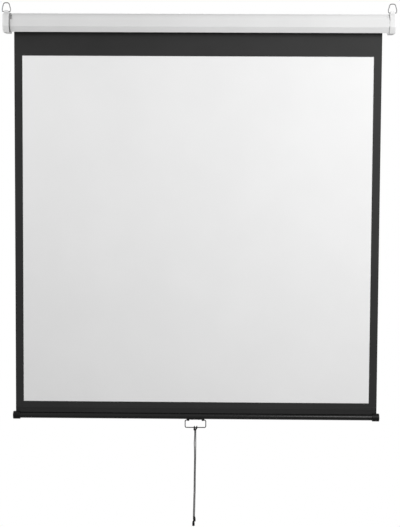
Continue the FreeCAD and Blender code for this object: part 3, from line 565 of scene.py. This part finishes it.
def screen_faces(xs, zs, edges):
    """Faces of the sheet's front, back and rim, and the colour of each."""
    wide, tall = len(xs), len(zs)
    back = wide * tall
    faces, colours = [], []
    for row in range(tall - 1):
        for column in range(wide - 1):
            a = row * wide + column
            mid_x = (xs[column] + xs[column + 1]) / 2
            mid_z = (zs[row] + zs[row + 1]) / 2
            faces.append((a, a + wide, a + wide + 1, a + 1))
            colours.append(WHITE_FACE if in_image(mid_x, mid_z, edges) else BLACK_FACE)
            faces.append((back + a, back + a + 1, back + a + wide + 1, back + a + wide))
            colours.append(BLACK_FACE)
    rim = list(range(wide))
    rim += [row * wide + wide - 1 for row in range(1, tall)]
    rim += [(tall - 1) * wide + column for column in range(wide - 2, -1, -1)]
    rim += [row * wide for row in range(tall - 2, 0, -1)]
    for a, b in zip(rim, rim[1:] + rim[:1]):
        faces.append((a, b, back + b, back + a))
        colours.append(BLACK_FACE)
    return faces, colours


def make_screen(materials):
    """The hanging fabric: a thin closed sheet, black round its white image and on its back."""
    low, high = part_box("screen_sheet")
    edges = image_edges()
    left, right, foot, top = edges
    half = COAT_EDGE / 2
    xs = spaced([low.x, left - half, left + half, right - half, right + half, high.x], GRID_STEP)
    zs = spaced([high.z, top + half, top - half, foot + half, foot - half, low.z], GRID_STEP)
    faces, colours = screen_faces(xs, zs, edges)
    screen = mesh_piece("screen_fabric", screen_points(xs, zs, edges), faces)
    screen.data.materials.append(materials["screen_white"])
    screen.data.materials.append(materials["screen_black"])
    screen.data.polygons.foreach_set("material_index", colours)
    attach(screen, "case")
    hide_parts("screen_sheet", "black_border")
    return screen


def wind_with_lift(screen):
    """Gives the fabric a mesh of its own."""
    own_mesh(screen)


def prism(outline, x_from, x_to):
    """The sides of an outline across X, stretched along X, with the counts of its points and rows."""
    xs = spaced([x_from, x_to], ROW_STEP)
    count = len(outline)
    points = [(x, y, z) for x in xs for y, z in outline]
    faces = []
    for row in range(len(xs) - 1):
        for k in range(count):
            a = row * count + k
            b = row * count + (k + 1) % count
            faces.append((a, b, b + count, a + count))
    return points, faces, count, len(xs)


def ribbon_piece(name, outer, inner, x_from, x_to):
    """A bent ribbon stretched along X, from the points of its two faces in order."""
    outline = outer + inner[::-1]
    points, faces, count, rows = prism(outline, x_from, x_to)
    last = (rows - 1) * count
    for k in range(len(outer) - 1):
        a, b, c, d = k, k + 1, count - 2 - k, count - 1 - k
        faces.append((a, d, c, b))
        faces.append((last + a, last + b, last + c, last + d))
    return mesh_piece(name, points, faces)


def make_roll(materials):
    """The turns that stay on the roller, as half circles that step inwards."""
    low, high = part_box("fabric_roll")
    axis = middle("roller_tube")
    shift = ROLL_STEP / 4
    outer_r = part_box("screen_sheet")[1].y - FABRIC / 2 - axis.y - shift
    radii = [outer_r - k * ROLL_STEP / 2 for k in range(ROLL_HALF_TURNS)]
    sides = {1: [], -1: []}
    for k, radius in enumerate(radii):
        way = 1 if k % 2 == 0 else -1
        first = 0 if k == 0 else 1
        for step in range(first, ARC_STEPS + 1):
            angle = math.pi * step / ARC_STEPS
            for side, face in sides.items():
                reach = radius + side * FABRIC / 2
                y = axis.y + way * (shift + reach * math.cos(angle))
                face.append((y, axis.z + way * reach * math.sin(angle)))
    roll = ribbon_piece("rolled_fabric", sides[1], sides[-1], low.x, high.x)
    roll.data.materials.append(materials["screen_black"])
    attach(roll, "roller")
    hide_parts("fabric_roll")


def hem_face(side, top, rod, bore, thick):
    """One face of the hem, from its top over the ridges of its welds to the rod and round it."""
    face = [(rod.y + side * thick / 2, top)]
    for drop in HEM_RIDGES:
        for across, rise in HEM_RIDGE_PROFILE:
            y = rod.y + side * (thick / 2 + rise * HEM_RIDGE_HEIGHT)
            face.append((y, top - drop - across * HEM_RIDGE_WIDTH))
    reach = bore + thick
    lean = math.asin(thick / 2 / reach)
    for step in range(ARC_STEPS + 1):
        angle = lean + (math.pi - lean) * step / ARC_STEPS
        face.append((rod.y + side * reach * math.sin(angle), rod.z + reach * math.cos(angle)))
    return face


def make_hem(materials):
    """The doubled foot of the fabric, welded over the sheet's edge and closed round the bar's rod."""
    low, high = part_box("hem_strip")
    top = high.z + HEM_LAP
    rod = middle("hem_rod")
    rod_low, rod_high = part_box("hem_rod")
    bore = (rod_high.z - rod_low.z) / 2
    thick = 2 * FABRIC
    front = hem_face(-1, top, rod, bore, thick)
    back = hem_face(1, top, rod, bore, thick)
    outline = front + back[-2::-1]
    points, faces, count, rows = prism(outline, low.x, high.x)
    last = (rows - 1) * count
    for k in range(len(front) - 1):
        a, b = k, k + 1
        c, d = (count - 1 - b) % count, (count - 1 - a) % count
        ends = (a, d, c, b) if b != c else (a, d, b)
        faces.append(ends)
        faces.append(tuple(last + i for i in reversed(ends)))
    hem = mesh_piece("bar_hem", points, faces)
    hem.data.materials.append(materials["screen_black"])
    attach(hem, "bar")
    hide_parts("hem_strip")
    return hem


# Cord
def cord_origin():
    """The middle of the hitch, on the axis of the handle's foot wire."""
    knot = middle("cord_knot")
    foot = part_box("pull_handle")[0].z + WIRE_R
    return Vector((knot.x, knot.y, foot))


def route_line(name, route, resolution):
    """Points along a smooth line, read from a curve with the route's points as its control points."""
    curve = bpy.data.curves.new(name, "CURVE")
    curve.dimensions = "3D"
    spline = curve.splines.new("NURBS")
    spline.points.add(len(route) - 1)
    start = cord_origin()
    for point, place in zip(spline.points, route):
        point.co = (*(start + Vector(place) * MM), 1.0)
    spline.order_u = 3
    spline.use_endpoint_u = True
    spline.resolution_u = resolution
    holder = bpy.data.objects.new(name, curve)
    mesh = bpy.data.meshes.new_from_object(holder)
    line = [vertex.co.copy() for vertex in mesh.vertices]
    bpy.data.objects.remove(holder)
    bpy.data.curves.remove(curve)
    bpy.data.meshes.remove(mesh)
    return line


def braid_height(turn, along):
    """Height of the braid, from 0 between yarns to 1 on a yarn. turn is a share of the way round."""
    one = turn * BRAID_YARNS + along / BRAID_STEP
    other = turn * BRAID_YARNS - along / BRAID_STEP
    swap = (math.floor(one) + math.floor(other)) % 2
    first = math.sin(math.pi * (one % 1.0))
    second = math.sin(math.pi * (other % 1.0))
    across, length = (first, second) if swap else (second, first)
    return across * max(length, 0.0) ** YARN_FLATNESS


def line_tangents(line):
    tangents = []
    for k in range(len(line)):
        before, after = line[max(k - 1, 0)], line[min(k + 1, len(line) - 1)]
        tangents.append((after - before).normalized())
    return tangents


def braided_tube(name, line):
    """A round cord along a line, with the relief of its braid, closed at both ends."""
    tangents = line_tangents(line)
    normal = tangents[0].orthogonal().normalized()
    points, faces, along = [], [], 0.0
    for k, (place, tangent) in enumerate(zip(line, tangents)):
        if k:
            along += (place - line[k - 1]).length
        normal = (normal - tangent * normal.dot(tangent)).normalized()
        side = tangent.cross(normal)
        for j in range(BRAID_SIDES):
            turn = j / BRAID_SIDES
            angle = 2 * math.pi * turn
            radius = CORD_R - BRAID_RELIEF * (1.0 - braid_height(turn, along))
            points.append(place + (normal * math.cos(angle) + side * math.sin(angle)) * radius)
    for k in range(len(line) - 1):
        for j in range(BRAID_SIDES):
            a = k * BRAID_SIDES + j
            b = k * BRAID_SIDES + (j + 1) % BRAID_SIDES
            faces.append((a, b, b + BRAID_SIDES, a + BRAID_SIDES))
    last = (len(line) - 1) * BRAID_SIDES
    faces.append(tuple(reversed(range(BRAID_SIDES))))
    faces.append(tuple(range(last, last + BRAID_SIDES)))
    return mesh_piece(name, points, faces, sharp=NO_SHARP_EDGE)


def make_strand(name, route, node, materials):
    """One hanging strand, in place of its CAD node."""
    line = route_line(name, route, CORD_RESOLUTION)
    strand = braided_tube(name, line)
    strand.data.materials.append(materials["black_cord"])
    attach(strand, "cord")
    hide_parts(node)


def make_hitch(materials):
    """The loop of the doubled cord: over the wire on each side, its bight across the two strands."""
    hitch = braided_tube("cord_hitch", route_line("cord_hitch", HITCH, HITCH_RESOLUTION))
    hitch.data.materials.append(materials["black_cord"])
    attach(hitch, "cord")
    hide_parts("cord_knot")
    return hitch


# The scene
bpy.context.scene.view_settings.view_transform = "Standard"
make_camera()
make_world()
soft_lamp("key", KEY_PLACE, KEY_SIZE, KEY_POWER)
soft_lamp("back", BACK_PLACE, BACK_SIZE, BACK_POWER)
soft_lamp("left", LEFT_PLACE, SIDE_SIZE, SIDE_POWER)
soft_lamp("right", RIGHT_PLACE, SIDE_SIZE, SIDE_POWER)
make_floor()

finishes = make_materials()
dress_cad_nodes(finishes)
hitch_piece = make_hitch(finishes)
make_strand("cord_strand_a", STRAND_A, "pull_cord_a", finishes)
make_strand("cord_strand_b", STRAND_B, "pull_cord_b", finishes)
hem_piece = make_hem(finishes)
make_roll(finishes)
screen_piece = make_screen(finishes)
wind_with_lift(screen_piece)
